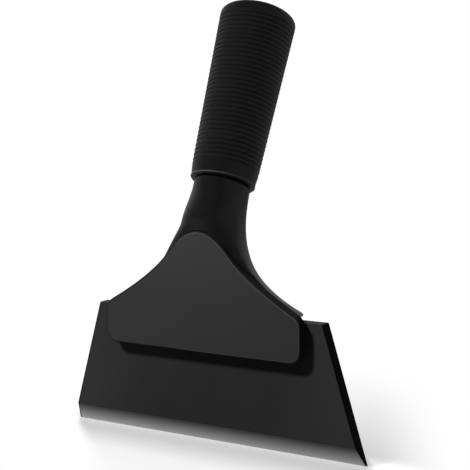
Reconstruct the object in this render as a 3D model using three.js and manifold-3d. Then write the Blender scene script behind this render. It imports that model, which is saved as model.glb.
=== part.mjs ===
// Shower squeegee: a thick rubber blade clamped between a handle body and a front cover,
// three screws from the back that draw the cover in, and a ribbed rubber grip on the shank.
// Millimetres. X runs along the blade, -Y is the front, where the cover is, and +Z is up.
// The origin is the middle of the blade's lip, the edge that meets the glass.

import * as THREE from 'three';
import { mergeVertices } from 'three/addons/utils/BufferGeometryUtils.js';
import Module from 'manifold-3d';

const wasm = await Module();
wasm.setup();

// Blade
const bladeLipWidth = 150;
const bladeTopWidth = 114.7;
const bladeHeight = 58.8;
const bladeThickness = 5.6;
const bladeBevelHeight = 8.6;
const bladeLipThickness = 0.8;

// Clamp that holds the top strip of the blade
const clampDepth = 16.9;
const bladeFaceClearance = 0.15;
const bladeTopClearance = 0.3;
const partingGap = 0.2;

// Front cover
const coverThickness = 5.6;
const coverWidth = 99.2;
const coverHeight = 53.4;
const coverSideHeight = 18.6;
const coverWaistWidth = 48.2;
const coverWaistHeight = 33.1;
const coverNoseWidth = 15.1;
const coverCornerSetback = 6.5;
const coverShoulderSetback = 3.8;
const coverNoseSetback = 12.6;
const coverEdgeRadius = 1.2;
const coverPocketClearance = 0.3;

// Handle body
const handleTilt = THREE.MathUtils.degToRad(24.9);
const handleRootDrop = 10.4;
const collarDistance = 31.8;
const collarRadius = 12.7;
const neckWaist = 0.8;
const neckWaistShare = 0.3;
const neckSpread = 25.8;
const neckSpreadPower = 1.75;
const flareBlend = 6;
const bodyInset = 3.4;
const bodyRimRise = 1.8;
const bodyNoseRise = 4.2;
const bodyRimDepth = 1;
const bodyRimSquareness = 3.7;
const landThickness = 5;
const landMargin = 5.2;
const roundSquareness = 2;
const headSquareness = 2.3;
const shankStep = 2.2;
const shankRoot = 6;
const shankChamfer = 1.5;

// Rubber grip
const gripLength = 84.5;
const gripSeatGap = 0.3;
const gripBoreClearance = 0.3;
const gripCuffWall = 3.5;
const gripBottomWall = 4.3;
const gripTopWall = 6.8;
const gripEndWall = 12.2;
const gripLipRounding = 0.8;
const cuffLength = 7.5;
const ribSpacing = 2.14;
const grooveDepth = 0.45;
const bandLength = 2.6;
const domeHeight = 5.4;
const domeSquareness = 2.9;

// Clamp screws, their bosses on the cover and the blade's notches
const screwInset = 16.3;
const screwDiameter = 2.9;
const screwHeadDiameter = 6.2;
const screwHeadHeight = 2.2;
const screwHeadRounding = 0.8;
const screwBite = 7;
const screwTipLength = 1.2;
const screwTipDiameter = 1.4;
const screwFloor = 2.2;
const screwSeatGap = 0.05;
const screwHoleClearance = 0.3;
const threadClearance = 0.1;
const pilotSpareDepth = 0.6;
const recessSpan = 3.4;
const recessWidth = 0.9;
const recessDepth = 1.1;
const bossDiameter = 7.2;
const notchClearance = 0.4;

// Fineness of the round shapes
const curveSteps = 7;
const ringSides = 48;
const neckSteps = 18;
const cornerSteps = 4;
const gripSides = 30;
const domeSteps = 6;
const holeSides = 20;
const edgeSteps = 2;
const weldTolerance = 1e-4;

// Planes and heights that the pieces share
const bladeBack = bladeLipThickness / 2;
const bladeFront = bladeBack - bladeThickness;
const bladeMiddle = (bladeBack + bladeFront) / 2;
const coverBack = bladeFront - bladeFaceClearance;
const coverFront = bladeFront - coverThickness;
const coverBottom = bladeHeight - clampDepth;
const shoulderHeight = coverBottom + coverSideHeight;
const bodySeat = bladeBack + bladeFaceClearance;
const landBack = bodySeat + landThickness;
const coverTop = coverBottom + coverHeight;
const screwHeight = coverBottom + clampDepth / 2;
const screwReach = coverWidth / 2 - screwInset;
const screwPlaces = { left: -screwReach, centre: 0, right: screwReach };
const screwSeat = bodySeat + screwFloor;
const screwHeadFace = screwSeat + screwSeatGap;
const bossEnd = bodySeat - partingGap;
const screwTip = bossEnd - screwBite;
const handleAxis = new THREE.Vector3(0, Math.sin(handleTilt), Math.cos(handleTilt));
const handleRoot = new THREE.Vector3(0, bladeMiddle, coverTop - handleRootDrop);
const collar = handleRoot.clone().addScaledVector(handleAxis, collarDistance);
const shankRadius = collarRadius - shankStep;
const shankLength = gripLength - gripEndWall - gripBoreClearance;
const gripBore = shankRadius + gripBoreClearance;

// A cutting block reaches this far past everything it cuts
const beyond = bladeLipWidth + bladeHeight + coverHeight;

// Solids: a closed three.js geometry in, a solid out, and back again
function solidOf(geometry) {
  const bare = geometry.clone();
  bare.deleteAttribute('normal');
  bare.deleteAttribute('uv');
  const welded = mergeVertices(bare, weldTolerance);
  const corners = welded.index.array;
  const faces = [];
  for (let i = 0; i < corners.length; i += 3) {
    const face = [corners[i], corners[i + 1], corners[i + 2]];
    if (new Set(face).size === face.length) faces.push(...face);
  }
  return new wasm.Manifold(new wasm.Mesh({
    numProp: 3,
    vertProperties: new Float32Array(welded.attributes.position.array),
    triVerts: new Uint32Array(faces),
  }));
}

function geometryOf(solid) {
  const mesh = solid.getMesh();
  const geometry = new THREE.BufferGeometry();
  geometry.setAttribute('position', new THREE.BufferAttribute(mesh.vertProperties, mesh.numProp));
  geometry.setIndex(new THREE.BufferAttribute(mesh.triVerts, 1));
  geometry.computeVertexNormals();
  return geometry;
}

function block(low, high) {
  const size = high.clone().sub(low);
  const middle = low.clone().add(high).multiplyScalar(0.5);
  const geometry = new THREE.BoxGeometry(size.x, size.y, size.z);
  return solidOf(geometry.translate(middle.x, middle.y, middle.z));
}

// A round bar along Y, for bosses and for what holes remove
function rodAlongY(radius, yFrom, yTo, x, z) {
  const geometry = new THREE.CylinderGeometry(radius, radius, yTo - yFrom, holeSides);
  return solidOf(geometry.translate(x, (yFrom + yTo) / 2, z));
}

// A flat outline in X and Z, made thick from yBack towards the front, with its edges eased
function slab(outline, yBack, thickness, edge) {
  const bevel = { bevelThickness: edge, bevelSize: edge, bevelOffset: -edge, bevelSegments: edgeSteps };
  const settings = { depth: thickness - 2 * edge, curveSegments: curveSteps, bevelEnabled: edge > 0, ...bevel };
  const geometry = new THREE.ExtrudeGeometry(outline, settings);
  return solidOf(geometry.rotateX(Math.PI / 2).translate(0, yBack - edge, 0));
}

function turned(profile, sides) {
  const points = profile.map(([radius, height]) => new THREE.Vector2(radius, height));
  return new THREE.LatheGeometry(points, sides).rotateX(Math.PI / 2);
}

function piece(name, geometry, finish) {
  const mesh = new THREE.Mesh(geometry, new THREE.MeshStandardMaterial(finish));
  mesh.name = name;
  return mesh;
}

// Cover outline: a rounded triangle with hollow slopes, upright sides and a straight foot
function coverCorners(grow) {
  const right = [
    new THREE.Vector2(coverWidth / 2, coverBottom),
    new THREE.Vector2(coverWidth / 2, shoulderHeight),
    new THREE.Vector2(coverWaistWidth / 2, coverBottom + coverWaistHeight),
    new THREE.Vector2(coverNoseWidth / 2, coverTop),
  ];
  const before = [new THREE.Vector2(0, coverBottom), ...right.slice(0, -1)];
  const after = [...right.slice(1), new THREE.Vector2(0, coverTop)];
  return right.map((corner, i) => {
    const edgeIn = corner.clone().sub(before[i]).normalize();
    const edgeOut = after[i].clone().sub(corner).normalize();
    const normalIn = new THREE.Vector2(edgeIn.y, -edgeIn.x);
    const normalOut = new THREE.Vector2(edgeOut.y, -edgeOut.x);
    const miter = normalIn.clone().add(normalOut).divideScalar(1 + normalIn.dot(normalOut));
    return corner.clone().addScaledVector(miter, grow);
  });
}

function towards(from, to, distance) {
  return from.clone().add(to.clone().sub(from).setLength(distance));
}

function coverOutline(grow) {
  const [foot, shoulder, waist, nose] = coverCorners(grow);
  const top = new THREE.Vector2(0, nose.y);
  const stops = [
    { start: new THREE.Vector2(foot.x - coverCornerSetback, foot.y), bend: foot,
      end: towards(foot, shoulder, coverCornerSetback) },
    { start: towards(shoulder, foot, coverShoulderSetback), bend: shoulder,
      end: towards(shoulder, waist, coverShoulderSetback) },
    { bend: waist, end: towards(nose, waist, coverNoseSetback) },
    { bend: nose, end: top },
  ];
  const outline = new THREE.Shape();
  outline.moveTo(0, foot.y);
  for (const { start, bend, end } of stops) {
    if (start) outline.lineTo(start.x, start.y);
    outline.quadraticCurveTo(bend.x, bend.y, end.x, end.y);
  }
  const mirrored = stops.map((stop, i) => ({ ...stop, from: i ? stops[i - 1].end : stop.start })).reverse();
  for (const { start, bend, from } of mirrored) {
    const end = start ?? from;
    outline.quadraticCurveTo(-bend.x, bend.y, -end.x, end.y);
    if (start && from !== start) outline.lineTo(-from.x, from.y);
  }
  outline.lineTo(0, foot.y);
  return outline;
}

// Half the cover's width at a height, read along its outline
function coverHalfWidth(height) {
  const side = coverOutline(0).getPoints(curveSteps).filter((point) => point.x >= 0);
  const above = side.findIndex((point, i) => i > 1 && point.y >= height);
  if (above < 0) return 0;
  const low = side[above - 1];
  const high = side[above];
  const share = high.y > low.y ? (height - low.y) / (high.y - low.y) : 0;
  return THREE.MathUtils.lerp(low.x, high.x, Math.max(share, 0));
}

// Handle body: rings run down from the collar, bend upright and widen into the flared head,
// which stands up around the cover's nose in front and is crowned at the back around a flat land
const rimFront = coverBack - bodyRimRise;
const headMiddle = rimFront + bodyRimDepth;
const headHalfWidth = coverWidth / 2 - bodyInset;
const landDepth = landBack - headMiddle;
const landShare = 1 - landMargin / headHalfWidth;
const crownDepth = landDepth / (1 - landShare ** headSquareness) ** (1 / headSquareness);

function bodySpine() {
  const bendDistance = (headMiddle - bladeMiddle) / Math.sin(handleTilt);
  const bend = handleRoot.clone().addScaledVector(handleAxis, bendDistance);
  return new THREE.QuadraticBezierCurve3(collar, bend, new THREE.Vector3(0, headMiddle, shoulderHeight));
}

function neckStation(spine, along) {
  const { lerp, smoothstep } = THREE.MathUtils;
  const centre = spine.getPoint(along);
  const up = spine.getTangent(along).negate();
  const ease = smoothstep(along, 0, 1);
  const neckRadius = collarRadius - neckWaist * smoothstep(along, 0, neckWaistShare);
  const neckHalf = neckRadius + neckSpread * along ** neckSpreadPower;
  const flareHalf = Math.max(coverHalfWidth(centre.z) - bodyInset, 0);
  const collarFront = collar.y - collarRadius * handleAxis.z;
  const noseShare = smoothstep(centre.z, shoulderHeight, coverTop - coverNoseSetback);
  const rise = lerp(bodyRimRise, bodyNoseRise, noseShare);
  const ramp = smoothstep(collar.z - centre.z, 0, collar.z - coverTop);
  const front = lerp(collarFront, coverBack - rise, ramp);
  const squareness = lerp(roundSquareness, headSquareness, ease);
  const rimShare = smoothstep(coverTop - centre.z, 0, coverNoseSetback);
  return {
    centre,
    up,
    halfWidth: (neckHalf ** flareBlend + flareHalf ** flareBlend) ** (1 / flareBlend),
    frontDepth: (centre.y - front) / up.z,
    crownDepth: lerp(collarRadius, crownDepth, ease),
    flatDepth: lerp(collarRadius, landDepth, ease),
    squareness,
    frontSquareness: lerp(squareness, bodyRimSquareness, rimShare),
  };
}

function headStation(height) {
  return {
    centre: new THREE.Vector3(0, headMiddle, height),
    up: new THREE.Vector3(0, 0, 1),
    halfWidth: coverHalfWidth(height) - bodyInset,
    frontDepth: bodyRimDepth,
    crownDepth,
    flatDepth: landDepth,
    squareness: headSquareness,
    frontSquareness: bodyRimSquareness,
  };
}

function bodyStations() {
  const spine = bodySpine();
  const stations = [];
  for (let i = 0; i < neckSteps; i += 1) stations.push(neckStation(spine, i / neckSteps));
  stations.push(headStation(shoulderHeight), headStation(shoulderHeight - coverShoulderSetback));
  for (let i = 0; i <= cornerSteps; i += 1) {
    const sink = Math.sin((i / cornerSteps) * Math.PI / 2);
    stations.push(headStation(coverBottom + coverCornerSetback * (1 - sink)));
  }
  return stations;
}

function ringPoints(station) {
  const { centre, up, halfWidth, frontDepth, crownDepth: crown, flatDepth } = station;
  const across = new THREE.Vector3(1, 0, 0);
  const back = new THREE.Vector3().crossVectors(up, across);
  const points = [];
  for (let i = 0; i < ringSides; i += 1) {
    const angle = (i / ringSides) * 2 * Math.PI;
    const squareness = Math.sin(angle) < 0 ? station.frontSquareness : station.squareness;
    const bulge = (value) => Math.sign(value) * Math.abs(value) ** (2 / squareness);
    const behind = Math.min(crown * bulge(Math.sin(angle)), flatDepth);
    const ahead = frontDepth * bulge(Math.sin(angle));
    const point = centre.clone();
    point.addScaledVector(across, halfWidth * bulge(Math.cos(angle)));
    point.addScaledVector(back, behind > 0 ? behind : ahead);
    points.push(point);
  }
  return points;
}

// Rings joined into one closed skin, listed from the top down
function loft(rings) {
  const sides = rings[0].length;
  const positions = rings.flat().flatMap((point) => point.toArray());
  const faces = [];
  for (let r = 0; r + 1 < rings.length; r += 1) {
    for (let i = 0; i < sides; i += 1) {
      const next = (i + 1) % sides;
      const [a, b] = [r * sides + i, r * sides + next];
      const [c, d] = [a + sides, b + sides];
      faces.push(a, c, d, a, d, b);
    }
  }
  const lastRing = (rings.length - 1) * sides;
  for (let i = 1; i + 1 < sides; i += 1) {
    faces.push(0, i, i + 1);
    faces.push(lastRing, lastRing + i + 1, lastRing + i);
  }
  const geometry = new THREE.BufferGeometry();
  geometry.setAttribute('position', new THREE.Float32BufferAttribute(positions, 3));
  geometry.setIndex(faces);
  return solidOf(geometry);
}

function onHandle(geometry) {
  return geometry.rotateX(-handleTilt).translate(collar.x, collar.y, collar.z);
}

function shank() {
  return solidOf(onHandle(turned([
    [0, -shankRoot],
    [shankRadius, -shankRoot],
    [shankRadius, shankLength - shankChamfer],
    [shankRadius - shankChamfer, shankLength],
    [0, shankLength],
  ], gripSides)));
}

function handleBody() {
  const bladeSlot = block(
    new THREE.Vector3(-beyond, -beyond, -beyond),
    new THREE.Vector3(beyond, bodySeat, bladeHeight + bladeTopClearance),
  );
  const pocketFloor = coverBack + partingGap;
  let body = loft(bodyStations().map(ringPoints)).add(shank()).subtract(bladeSlot);
  body = body.subtract(slab(coverOutline(coverPocketClearance), pocketFloor, beyond, 0));
  for (const x of Object.values(screwPlaces)) {
    const holeRadius = screwDiameter / 2 + screwHoleClearance;
    const seatRadius = screwHeadDiameter / 2 + screwHoleClearance;
    body = body.subtract(rodAlongY(holeRadius, -beyond, beyond, x, screwHeight));
    body = body.subtract(rodAlongY(seatRadius, screwSeat, beyond, x, screwHeight));
  }
  return geometryOf(body);
}

// Front cover: a raised plate with eased edges and a boss behind it for each screw
function frontCover() {
  let cover = slab(coverOutline(0), coverBack, coverBack - coverFront, coverEdgeRadius);
  for (const x of Object.values(screwPlaces)) {
    const rooted = coverBack - coverEdgeRadius;
    cover = cover.add(rodAlongY(bossDiameter / 2, rooted, bossEnd, x, screwHeight));
  }
  for (const x of Object.values(screwPlaces)) {
    const pilotRadius = screwDiameter / 2 + threadClearance;
    cover = cover.subtract(rodAlongY(pilotRadius, screwTip - pilotSpareDepth, beyond, x, screwHeight));
  }
  return geometryOf(cover);
}

// Blade: a tapered sheet, bevelled at the front down to its lip, notched around the bosses
function blade() {
  const section = new THREE.Shape([
    new THREE.Vector2(bladeBack, 0),
    new THREE.Vector2(bladeBack, bladeHeight),
    new THREE.Vector2(bladeFront, bladeHeight),
    new THREE.Vector2(bladeFront, bladeBevelHeight),
    new THREE.Vector2(bladeBack - bladeLipThickness, 0),
  ]);
  const face = new THREE.Shape([
    new THREE.Vector2(-bladeLipWidth / 2, 0),
    new THREE.Vector2(bladeLipWidth / 2, 0),
    new THREE.Vector2(bladeTopWidth / 2, bladeHeight),
    new THREE.Vector2(-bladeTopWidth / 2, bladeHeight),
  ]);
  const bar = new THREE.ExtrudeGeometry(section, { depth: 2 * beyond, bevelEnabled: false });
  const turnedBar = bar.translate(0, 0, -beyond).rotateY(Math.PI / 2).rotateX(Math.PI / 2);
  let sheet = solidOf(turnedBar).intersect(slab(face, beyond, 2 * beyond, 0));
  for (const x of Object.values(screwPlaces)) {
    const halfNotch = bossDiameter / 2 + notchClearance;
    sheet = sheet.subtract(rodAlongY(halfNotch, -beyond, beyond, x, screwHeight));
    sheet = sheet.subtract(block(
      new THREE.Vector3(x - halfNotch, -beyond, screwHeight),
      new THREE.Vector3(x + halfNotch, beyond, bladeHeight + bladeTopClearance),
    ));
  }
  return geometryOf(sheet);
}

// Grip: a closed rubber sleeve with a plain cuff, a run of ribs and a domed end
function gripRadius(height) {
  const bottom = gripBore + gripBottomWall;
  const top = gripBore + gripTopWall;
  return THREE.MathUtils.mapLinear(height, cuffLength, gripLength - domeHeight, bottom, top);
}

function gripSleeve() {
  const cuffRadius = gripBore + gripCuffWall;
  const boreEnd = shankLength + gripBoreClearance;
  const domeStart = gripLength - domeHeight;
  const ribbedLength = domeStart - bandLength - cuffLength;
  const ribCount = Math.round(ribbedLength / ribSpacing);
  const pitch = ribbedLength / ribCount;
  const profile = [
    [0, boreEnd],
    [gripBore, boreEnd],
    [gripBore, gripSeatGap],
    [cuffRadius - gripLipRounding, gripSeatGap],
    [cuffRadius, gripSeatGap + gripLipRounding],
    [gripRadius(cuffLength - pitch / 2), cuffLength - pitch / 2],
  ];
  for (let i = 0; i <= ribCount; i += 1) {
    const groove = cuffLength + i * pitch;
    profile.push([gripRadius(groove) - grooveDepth, groove]);
    profile.push([gripRadius(groove + pitch / 2), groove + pitch / 2]);
  }
  for (let i = 0; i < domeSteps; i += 1) {
    const angle = (i / domeSteps) * Math.PI / 2;
    const power = 2 / domeSquareness;
    const height = domeStart + domeHeight * Math.sin(angle) ** power;
    profile.push([gripRadius(domeStart) * Math.cos(angle) ** power, height]);
  }
  profile.push([0, gripLength]);
  return geometryOf(solidOf(turned(profile, gripSides)));
}

// Clamp screw: a pan head with a cross recess, made along Z and then pointed to the front
function clampScrew() {
  const reach = screwHeadFace - screwTip;
  const headRadius = screwHeadDiameter / 2;
  const body = solidOf(turned([
    [0, -reach],
    [screwTipDiameter / 2, -reach],
    [screwDiameter / 2, -reach + screwTipLength],
    [screwDiameter / 2, 0],
    [headRadius, 0],
    [headRadius, screwHeadHeight - screwHeadRounding],
    [headRadius - screwHeadRounding, screwHeadHeight],
    [0, screwHeadHeight],
  ], holeSides));
  const half = new THREE.Vector3(recessSpan / 2, recessWidth / 2, 0);
  const floor = screwHeadHeight - recessDepth;
  const lengthways = block(
    new THREE.Vector3(-half.x, -half.y, floor),
    new THREE.Vector3(half.x, half.y, screwHeadHeight + recessDepth),
  );
  const crossways = block(
    new THREE.Vector3(-half.y, -half.x, floor),
    new THREE.Vector3(half.y, half.x, screwHeadHeight + recessDepth),
  );
  return geometryOf(body.subtract(lengthways.add(crossways)));
}

// Finishes
const satinPlastic = { color: 0x2c2c2e, roughness: 0.5, metalness: 0 };
const mouldedPlastic = { color: 0x141416, roughness: 0.42, metalness: 0 };
const bladeRubber = { color: 0x1f1f20, roughness: 0.55, metalness: 0 };
const gripRubber = { color: 0x151516, roughness: 0.7, metalness: 0 };
const screwSteel = { color: 0x9a9c9e, roughness: 0.35, metalness: 1 };

// Assembly
const squeegee = new THREE.Group();
squeegee.add(piece('handle_body', handleBody(), mouldedPlastic));
squeegee.add(piece('front_cover', frontCover(), satinPlastic));
squeegee.add(piece('blade', blade(), bladeRubber));

const handle = new THREE.Group();
handle.position.copy(collar);
handle.rotation.x = -handleTilt;
handle.add(piece('grip_sleeve', gripSleeve(), gripRubber));
squeegee.add(handle);

for (const [side, x] of Object.entries(screwPlaces)) {
  const screw = piece(`clamp_screw_${side}`, clampScrew(), screwSteel);
  screw.position.set(x, screwHeadFace, screwHeight);
  screw.rotation.x = -Math.PI / 2;
  squeegee.add(screw);
}

export default squeegee;
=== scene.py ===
import math
import bmesh
import bpy
from mathutils import Matrix, Vector


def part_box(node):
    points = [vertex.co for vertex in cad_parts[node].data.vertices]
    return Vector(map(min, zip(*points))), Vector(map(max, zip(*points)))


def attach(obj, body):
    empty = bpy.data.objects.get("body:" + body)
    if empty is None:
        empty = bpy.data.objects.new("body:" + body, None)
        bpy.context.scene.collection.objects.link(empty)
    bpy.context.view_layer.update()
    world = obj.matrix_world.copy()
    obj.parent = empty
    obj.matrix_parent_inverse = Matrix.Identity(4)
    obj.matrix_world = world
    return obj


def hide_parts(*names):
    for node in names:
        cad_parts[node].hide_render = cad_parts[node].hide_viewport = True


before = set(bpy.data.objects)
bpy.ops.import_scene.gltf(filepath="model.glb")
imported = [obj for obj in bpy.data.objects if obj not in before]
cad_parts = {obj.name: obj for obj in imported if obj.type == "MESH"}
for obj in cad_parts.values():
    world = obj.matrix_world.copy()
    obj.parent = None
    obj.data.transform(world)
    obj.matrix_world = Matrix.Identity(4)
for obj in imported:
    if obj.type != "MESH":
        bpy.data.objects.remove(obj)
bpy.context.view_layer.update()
mm = 0.001
print("frame loaded:", ", ".join(sorted(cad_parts)))

# places that the pieces share, read from the frame
bladeLow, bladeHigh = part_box("blade")
coverLow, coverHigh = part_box("front_cover")
screwLow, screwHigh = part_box("clamp_screw_right")
screwMiddle = (screwLow + screwHigh) / 2
screwPlaces = [-screwMiddle.x, 0.0, screwMiddle.x]
screwRise = screwMiddle.z

clamp = {
    "faceClearance": 0.15 * mm,  # between the blade and what grips it
    "topClearance": 0.3 * mm,
    "partingGap": 0.2 * mm,
    "screwHeadHeight": 2.2 * mm,
    "barSides": 48,
}
coverBack = bladeLow.y - clamp["faceClearance"]
bodySeat = bladeHigh.y + clamp["faceClearance"]


# mesh helpers
def linkNew(name, data):
    obj = bpy.data.objects.new(name, data)
    bpy.context.scene.collection.objects.link(obj)
    return obj


def meshObject(name, points, faces):
    mesh = bpy.data.meshes.new(name)
    mesh.from_pydata([tuple(point) for point in points], [], faces)
    mesh.validate()
    return linkNew(name, mesh)


def worked(name, work):
    # a linked object from finished bmesh work
    mesh = bpy.data.meshes.new(name)
    work.to_mesh(mesh)
    work.free()
    return linkNew(name, mesh)


def tidyMesh(obj, weld=1e-7):
    work = bmesh.new()
    work.from_mesh(obj.data)
    bmesh.ops.remove_doubles(work, verts=work.verts, dist=weld)
    bmesh.ops.recalc_face_normals(work, faces=work.faces)
    work.to_mesh(obj.data)
    work.free()


def settleModifiers(obj):
    depsgraph = bpy.context.evaluated_depsgraph_get()
    depsgraph.update()
    settled = bpy.data.meshes.new_from_object(obj.evaluated_get(depsgraph))
    obj.modifiers.clear()
    spent = obj.data
    obj.data = settled
    settled.name = obj.name
    bpy.data.meshes.remove(spent)


def smoothAbove(obj, degrees):
    obj.data.shade_smooth()
    obj.data.set_sharp_from_angle(angle=math.radians(degrees))


def combine(obj, operation, others):
    for other in others:
        step = obj.modifiers.new(other.name, "BOOLEAN")
        step.operation = operation
        step.solver = "EXACT"
        step.object = other
    settleModifiers(obj)
    for other in others:
        bpy.data.objects.remove(other)


def easeEdges(obj, width, segments, degrees):
    ease = obj.modifiers.new("easedEdges", "BEVEL")
    ease.width = width
    ease.segments = segments
    ease.limit_method = "ANGLE"
    ease.angle_limit = math.radians(degrees)
    ease.harden_normals = True


def circle(sides):
    angles = [2 * math.pi * i / sides for i in range(sides)]
    return [(math.cos(angle), math.sin(angle)) for angle in angles]


def quarterTurn(steps):
    return [math.pi / 2 * i / steps for i in range(steps + 1)]


def ringSkin(name, rings, closeEnds=True):
    # rings of equal count, joined into one skin
    sides = len(rings[0])
    points = [point for ring in rings for point in ring]
    faces = []
    for r in range(len(rings) - 1):
        for i in range(sides):
            a = r * sides + i
            b = r * sides + (i + 1) % sides
            faces.append((a, b, b + sides, a + sides))
    if closeEnds:
        last = (len(rings) - 1) * sides
        faces.append(tuple(range(sides)))
        faces.append(tuple(last + i for i in range(sides)))
    obj = meshObject(name, points, faces)
    tidyMesh(obj)
    return obj


def turnedSkin(name, profile, sides):
    # profile of (radius, height) pairs turned about Z
    rings = [[(radius * x, radius * y, height) for x, y in circle(sides)] for radius, height in profile]
    return ringSkin(name, rings, closeEnds=False)


def boxCutter(name, low, high):
    xs, ys, zs = zip(low, high)
    corners = [(x, y, z) for x in xs for y in ys for z in zs]
    faces = [(0, 1, 3, 2), (4, 6, 7, 5), (0, 4, 5, 1), (2, 3, 7, 6), (0, 2, 6, 4), (1, 5, 7, 3)]
    obj = meshObject(name, corners, faces)
    tidyMesh(obj)
    return obj


def screwBars(name, radius, yFrom, yTo):
    # a round bar along Y at each screw
    work = bmesh.new()
    turn = Matrix.Rotation(math.pi / 2, 4, "X")
    for x in screwPlaces:
        place = Matrix.Translation((x, (yFrom + yTo) / 2, screwRise)) @ turn
        bmesh.ops.create_cone(work, cap_ends=True, segments=clamp["barSides"], radius1=radius,
                              radius2=radius, depth=yTo - yFrom, matrix=place)
    return worked(name, work)


def mix(a, b, share):
    return a + (b - a) * share


def smoothStep(value, low, high):
    share = min(max((value - low) / (high - low), 0.0), 1.0)
    return share * share * (3 - 2 * share)


# node helpers, for shader and geometry trees alike
def addNode(tree, kind, **settings):
    node = tree.nodes.new(kind)
    for key, value in settings.items():
        setattr(node, key, value)
    return node


def feed(tree, socket, value):
    if isinstance(value, bpy.types.NodeSocket):
        tree.links.new(value, socket)
    else:
        socket.default_value = value


def maths(tree, operation, *values):
    node = addNode(tree, "ShaderNodeMath", operation=operation)
    for socket, value in zip(node.inputs, values):
        feed(tree, socket, value)
    return node.outputs[0]


def product(tree, first, *others):
    for other in others:
        first = maths(tree, "MULTIPLY", first, other)
    return first


def remap(tree, value, fromLow, fromHigh, toLow=0.0, toHigh=1.0, smooth=False):
    node = addNode(tree, "ShaderNodeMapRange")
    if smooth:
        node.interpolation_type = "SMOOTHSTEP"
    for name, item in zip(("Value", "From Min", "From Max", "To Min", "To Max"),
                          (value, fromLow, fromHigh, toLow, toHigh)):
        feed(tree, node.inputs[name], item)
    return node.outputs["Result"]


def fade(tree, value, start, end, first=0.0, last=1.0):
    return remap(tree, value, start, end, first, last, smooth=True)


def objectCoords(tree):
    return addNode(tree, "ShaderNodeTexCoord").outputs["Object"]


def objectPlace(tree):
    split = addNode(tree, "ShaderNodeSeparateXYZ")
    feed(tree, split.inputs[0], objectCoords(tree))
    return split.outputs


def vectorMaths(tree, operation, *values):
    node = addNode(tree, "ShaderNodeVectorMath", operation=operation)
    for socket, value in zip(node.inputs, values):
        feed(tree, socket, value)
    return node.outputs


def noise(tree, coords, scale, detail, roughness=0.5):
    node = addNode(tree, "ShaderNodeTexNoise", noise_dimensions="3D")
    feed(tree, node.inputs["Vector"], coords)
    feed(tree, node.inputs["Scale"], scale)
    feed(tree, node.inputs["Detail"], detail)
    feed(tree, node.inputs["Roughness"], roughness)
    return node.outputs["Fac"]


def shaderGroup(name, inputs, outputs):
    tree = bpy.data.node_groups.new(name, "ShaderNodeTree")
    for label, start in inputs.items():
        socket = tree.interface.new_socket(label, in_out="INPUT", socket_type="NodeSocketFloat")
        socket.default_value = start
    for label in outputs:
        tree.interface.new_socket(label, in_out="OUTPUT", socket_type="NodeSocketFloat")
    return tree, addNode(tree, "NodeGroupInput"), addNode(tree, "NodeGroupOutput")


def geometryGroup(name, inputs):
    tree = bpy.data.node_groups.new(name, "GeometryNodeTree")
    tree.interface.new_socket("Geometry", in_out="INPUT", socket_type="NodeSocketGeometry")
    for label, start in inputs.items():
        kind = "NodeSocketInt" if isinstance(start, int) else "NodeSocketFloat"
        socket = tree.interface.new_socket(label, in_out="INPUT", socket_type=kind)
        socket.default_value = start
    tree.interface.new_socket("Material", in_out="INPUT", socket_type="NodeSocketMaterial")
    tree.interface.new_socket("Geometry", in_out="OUTPUT", socket_type="NodeSocketGeometry")
    return tree, addNode(tree, "NodeGroupInput"), addNode(tree, "NodeGroupOutput")


def finishGeometry(tree, shape, source, target):
    realize = addNode(tree, "GeometryNodeRealizeInstances")
    paint = addNode(tree, "GeometryNodeSetMaterial")
    tree.links.new(shape, realize.inputs[0])
    tree.links.new(realize.outputs[0], paint.inputs["Geometry"])
    tree.links.new(source.outputs["Material"], paint.inputs["Material"])
    tree.links.new(paint.outputs[0], target.inputs["Geometry"])


def growNodes(obj, tree, values):
    modifier = obj.modifiers.new(tree.name, "NODES")
    modifier.node_group = tree
    for item in tree.interface.items_tree:
        if item.in_out == "INPUT" and item.name in values:
            modifier[item.identifier] = values[item.name]
    settleModifiers(obj)


# shared surface effects
fineGrain = {
    "size": 0.3 * mm,
    "swing": 0.08,
    "fineDetail": 2.0,
    "fineRoughness": 0.55,
    "fineShare": 0.7,
    "coarseScale": 0.31,
    "coarseDetail": 1.0,
    "coarseShare": 0.3,
    "middle": 0.5,
}
wipedMarks = {"size": 18 * mm, "amount": 0.2, "detail": 3.0, "roughness": 0.55, "from": 0.38, "to": 0.68}
# edges are lightened by rubbed wear and a painted highlight
edgeRub = {
    "start": 0.53,
    "end": 0.62,
    "amount": 0.3,
    "breakScale": 420.0,
    "breakDetail": 3.0,
    "breakFrom": 0.3,
    "breakTo": 0.7,
    "leastRub": 0.4,
}


def makeFineGrain():
    starts = {"Grain Size": fineGrain["size"], "Rough Swing": fineGrain["swing"]}
    tree, source, target = shaderGroup("fineGrain", starts, ["Height", "Rough Shift"])
    coords = objectCoords(tree)
    scale = maths(tree, "DIVIDE", 1.0, source.outputs["Grain Size"])
    fine = noise(tree, coords, scale, fineGrain["fineDetail"], fineGrain["fineRoughness"])
    coarseScale = maths(tree, "MULTIPLY", scale, fineGrain["coarseScale"])
    coarse = noise(tree, coords, coarseScale, fineGrain["coarseDetail"])
    height = maths(tree, "ADD", maths(tree, "MULTIPLY", fine, fineGrain["fineShare"]),
                   maths(tree, "MULTIPLY", coarse, fineGrain["coarseShare"]))
    centred = maths(tree, "SUBTRACT", height, fineGrain["middle"])
    feed(tree, target.inputs["Height"], height)
    feed(tree, target.inputs["Rough Shift"], product(tree, centred, source.outputs["Rough Swing"]))
    return tree


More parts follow.
